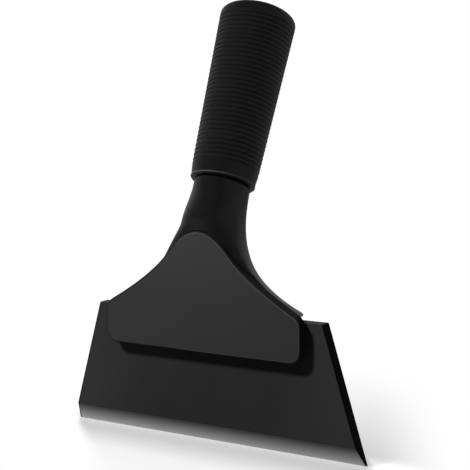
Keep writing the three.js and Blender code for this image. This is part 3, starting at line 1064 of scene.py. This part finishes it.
def makeScrews(material):
    s = clampScrew
    headHeight = clamp["screwHeadHeight"]
    reach = screwHigh.y - headHeight - screwLow.y
    profile = [(0.0, -reach), (s["tipRadius"], -reach), (s["shankRadius"], -reach + s["tipLength"])]
    profile += [(s["shankRadius"], 0.0), (s["headRadius"], 0.0)]
    for angle in quarterTurn(s["roundSteps"]):
        radius = s["headRadius"] - s["headRounding"] * (1 - math.cos(angle))
        profile.append((radius, headHeight - s["headRounding"] * (1 - math.sin(angle))))
    profile.append((0.0, headHeight))
    screws = turnedSkin("clampScrews", profile, s["sides"])
    half, thin = s["recessSpan"] / 2, s["recessWidth"] / 2
    floor = headHeight - s["recessDepth"]
    above = headHeight + s["recessDepth"]
    combine(screws, "DIFFERENCE", [boxCutter("slotA", (-half, -thin, floor), (half, thin, above)),
                                   boxCutter("slotB", (-thin, -half, floor), (thin, half, above))])
    backwards = Matrix.Rotation(-math.pi / 2, 4, "X")
    screws.data.transform(Matrix.Translation((0, screwHigh.y - headHeight, screwRise)) @ backwards)
    sizes = {"Count": len(screwPlaces), "First Place": screwPlaces[0],
             "Spacing": screwPlaces[1] - screwPlaces[0]}
    growNodes(screws, makeScrewTree(sizes), {**sizes, "Material": material})
    smoothAbove(screws, s["smoothAngle"])
    return screws


def makeScrewMaterial():
    looks = screwLooks
    material, tree, shader = newMaterial("zincScrew", looks["specular"])
    shader.inputs["Metallic"].default_value = looks["metallic"]
    grain = useEffect(tree, "grain", grainSize=looks["turnedGap"], roughSwing=looks["roughSwing"])
    marks = useEffect(tree, "handling", markSize=looks["markSize"], amount=looks["markAmount"])
    colour = blendColour(tree, marks.outputs["Mask"], shade(looks["colour"], looks["tint"]),
                         shade(looks["markColour"], looks["markTint"]))
    feed(tree, shader.inputs["Base Color"], colour)
    rough = maths(tree, "ADD", grain.outputs["Rough Shift"], looks["roughness"])
    feed(tree, shader.inputs["Roughness"], rough)
    addBump(tree, shader.inputs["Normal"], grain.outputs["Height"], looks["turnedDepth"])
    return material


screwNodes = ["clamp_screw_left", "clamp_screw_centre", "clamp_screw_right"]
finishPiece(makeScrews(makeScrewMaterial()), "handle", screwNodes)

# Stage: white floor and surround, a key in front on the upper left and a softer lamp behind
stage = {
    "floorRadius": 3.0,
    "floorSides": 96,
    "floorDrop": 0.1 * mm,
    "contactPeak": 6.4 * mm,  # soft shade on the floor in front of the lip
    "contactStart": 0.75,
    "contactReach": 36 * mm,
    "contactDepth": 0.28,
    "contactSide": 5 * mm,
    "sideSpread": 0.35,
    "frontSkew": 0.81,
    "haloReach": 140 * mm,
    "haloDepth": 0.11,
    "rearSkew": 0.44,  # wider shade behind, deepest on the right
    "rearStart": 16 * mm,
    "rearReach": 160 * mm,
    "rearDepth": 0.3,
    "rearSide": 40 * mm,
    "castReach": 70 * mm,  # how far from the lip the lamp's own shadow shows
    "castSide": 30 * mm,
    "castDepth": 0.3,
    "dimColour": 0.23,
    "surround": 0.015,
    "dimGloss": 0.02,
    "glowStart": 0.72,
    "glowSquash": 0.6,  # glows reach higher than they are wide
}

# what glossy surfaces see around them, brightest straight towards each glow
glows = {
    "backGlow": {"towards": (-0.511, 0.859, 0.0), "level": 0.3},
    "leftBackGlow": {"towards": (-0.944, 0.329, 0.0), "level": 0.4},
    "rightGlow": {"towards": (0.944, -0.329, 0.0), "level": 0.27},
    "rightSideGlow": {"towards": (0.88, 0.47, 0.0), "level": 0.35},
    "rightBackGlow": {"towards": (0.161, 0.987, 0.0), "level": 0.3},
}
lampAim = Vector((0.0, 0.0, 0.08))
lamps = {
    "keyLamp": {"from": (-0.41, -0.62, 0.71), "distance": 1.0, "size": 0.14, "power": 14},
    "rearLamp": {"from": (-0.3, 0.6, 0.75), "distance": 1.0, "size": 0.4, "power": 10},
}
viewpoint = {
    "azimuth": math.radians(30.76),
    "elevation": math.radians(7.38),
    "roll": math.radians(-0.79),
    "position": (254.5 * mm, -406.18 * mm, 154.3 * mm),
    "sensor": 36.0,
    "lens": 84.6766,
    "clipStart": 0.01,
}


def anyRay(tree, rays, *kinds):
    seen = 0.0
    for kind in kinds:
        seen = maths(tree, "MAXIMUM", rays.outputs[kind], seen)
    return seen


def floorShade(tree, place):
    # how dark the soft shade is at each place on the floor
    ahead = maths(tree, "MULTIPLY", place["Y"], -1.0)
    away = maths(tree, "ABSOLUTE", ahead)
    slid = maths(tree, "SUBTRACT", place["X"], maths(tree, "MULTIPLY", ahead, stage["frontSkew"]))
    beside = maths(tree, "SUBTRACT", maths(tree, "ABSOLUTE", slid), bladeHigh.x)
    rise = remap(tree, ahead, 0.0, stage["contactPeak"], stage["contactStart"])
    fall = fade(tree, ahead, stage["contactPeak"], stage["contactReach"], stage["contactDepth"], 0.0)
    halo = fade(tree, ahead, 0.0, stage["haloReach"], stage["haloDepth"], 0.0)
    contact = maths(tree, "ADD", product(tree, rise, fall), halo)
    inner = maths(tree, "MULTIPLY", ahead, -stage["sideSpread"])
    contact = product(tree, contact, fade(tree, beside, inner, stage["contactSide"], 1.0, 0.0))
    swept = maths(tree, "ADD", place["X"], maths(tree, "MULTIPLY", away, stage["rearSkew"]))
    rear = product(tree, fade(tree, away, 0.0, stage["rearReach"], stage["rearDepth"], 0.0),
                   remap(tree, swept, -bladeHigh.x, bladeHigh.x),
                   fade(tree, swept, bladeHigh.x, bladeHigh.x + stage["rearSide"], 1.0, 0.0))
    cast = product(tree, fade(tree, away, 0.0, stage["castReach"], stage["castDepth"], 0.0),
                   fade(tree, beside, 0.0, stage["castSide"], 1.0, 0.0))
    inFront = fade(tree, ahead, -stage["rearStart"], 0.0)
    return remap(tree, inFront, 0.0, 1.0, rear, contact), cast


def makeFloor():
    work = bmesh.new()
    bmesh.ops.create_circle(work, cap_ends=True, segments=stage["floorSides"], radius=stage["floorRadius"])
    floor = worked("floor", work)
    floor.location.z = -stage["floorDrop"]
    material = bpy.data.materials.new("whiteFloor")
    material.use_nodes = True
    tree = material.node_tree
    tree.nodes.clear()
    soft, cast = floorShade(tree, objectPlace(tree))
    level = maths(tree, "SUBTRACT", 1.0, soft)
    seen = anyRay(tree, addNode(tree, "ShaderNodeLightPath"), "Is Camera Ray", "Is Transmission Ray")
    white = addNode(tree, "ShaderNodeEmission")
    feed(tree, white.inputs["Strength"], level)
    lit = addNode(tree, "ShaderNodeBsdfDiffuse")
    feed(tree, lit.inputs["Color"], level)
    dim = addNode(tree, "ShaderNodeBsdfDiffuse")
    dim.inputs["Color"].default_value = shade(stage["dimColour"])
    shadowed = addNode(tree, "ShaderNodeMixShader")
    chosen = addNode(tree, "ShaderNodeMixShader")
    for node, parts in ((shadowed, (cast, white.outputs[0], lit.outputs[0])),
                        (chosen, (seen, dim.outputs[0], shadowed.outputs[0]))):
        for socket, part in zip(node.inputs, parts):
            feed(tree, socket, part)
    feed(tree, addNode(tree, "ShaderNodeOutputMaterial").inputs["Surface"], chosen.outputs[0])
    floor.data.materials.append(material)


def makeWorld():
    world = bpy.data.worlds.new("whiteSurround")
    bpy.context.scene.world = world
    world.use_nodes = True
    tree = world.node_tree
    background = tree.nodes["Background"]
    rays = addNode(tree, "ShaderNodeLightPath")
    seen = anyRay(tree, rays, "Is Camera Ray", "Is Transmission Ray", "Is Singular Ray")
    outward = addNode(tree, "ShaderNodeTexCoord").outputs["Generated"]
    squashed = vectorMaths(tree, "MULTIPLY", outward, (1.0, 1.0, stage["glowSquash"]))[0]
    direction = vectorMaths(tree, "NORMALIZE", squashed)[0]
    sheen = stage["dimGloss"]
    for glow in glows.values():
        facing = vectorMaths(tree, "DOT_PRODUCT", direction, Vector(glow["towards"]).normalized())["Value"]
        sheen = maths(tree, "ADD", fade(tree, facing, stage["glowStart"], 1.0, 0.0, glow["level"]), sheen)
    gloss = maths(tree, "MULTIPLY", rays.outputs["Is Glossy Ray"], sheen)
    soft = maths(tree, "MULTIPLY", rays.outputs["Is Diffuse Ray"], stage["surround"])
    level = maths(tree, "MAXIMUM", seen, maths(tree, "MAXIMUM", gloss, soft))
    feed(tree, background.inputs["Strength"], level)
    background.inputs["Color"].default_value = shade(1.0)


def makeLamp(name, looks):
    # the glows give the sheen, so the lamps don't show in it
    lamp = bpy.data.lights.new(name, "AREA")
    lamp.size = looks["size"]
    lamp.energy = looks["power"]
    obj = linkNew(name, lamp)
    obj.visible_glossy = False
    reach = Vector(looks["from"]).normalized()
    obj.location = lampAim + reach * looks["distance"]
    obj.rotation_euler = reach.to_track_quat("Z", "Y").to_euler()


def makeCamera():
    # a long lens at the height of the cover, a little to the right
    azimuth, elevation, roll = (viewpoint[key] for key in ("azimuth", "elevation", "roll"))
    back = Vector((math.sin(azimuth) * math.cos(elevation), -math.cos(azimuth) * math.cos(elevation),
                   math.sin(elevation)))
    right = Vector((0, 0, 1)).cross(back).normalized()
    up = back.cross(right)
    turnedRight = right * math.cos(roll) + up * math.sin(roll)
    turnedUp = up * math.cos(roll) - right * math.sin(roll)
    camera = bpy.data.cameras.new("camera")
    camera.sensor_fit = "HORIZONTAL"
    camera.sensor_width = viewpoint["sensor"]
    camera.lens = viewpoint["lens"]
    camera.clip_start = viewpoint["clipStart"]
    obj = linkNew("camera", camera)
    turn = Matrix((turnedRight, turnedUp, back)).transposed()
    obj.matrix_world = Matrix.Translation(viewpoint["position"]) @ turn.to_4x4()
    bpy.context.scene.camera = obj


makeFloor()
makeWorld()
for name, looks in lamps.items():
    makeLamp(name, looks)
makeCamera()
bpy.context.scene.view_settings.view_transform = "Standard"
print("stage set: floor, surround, lamps and camera")
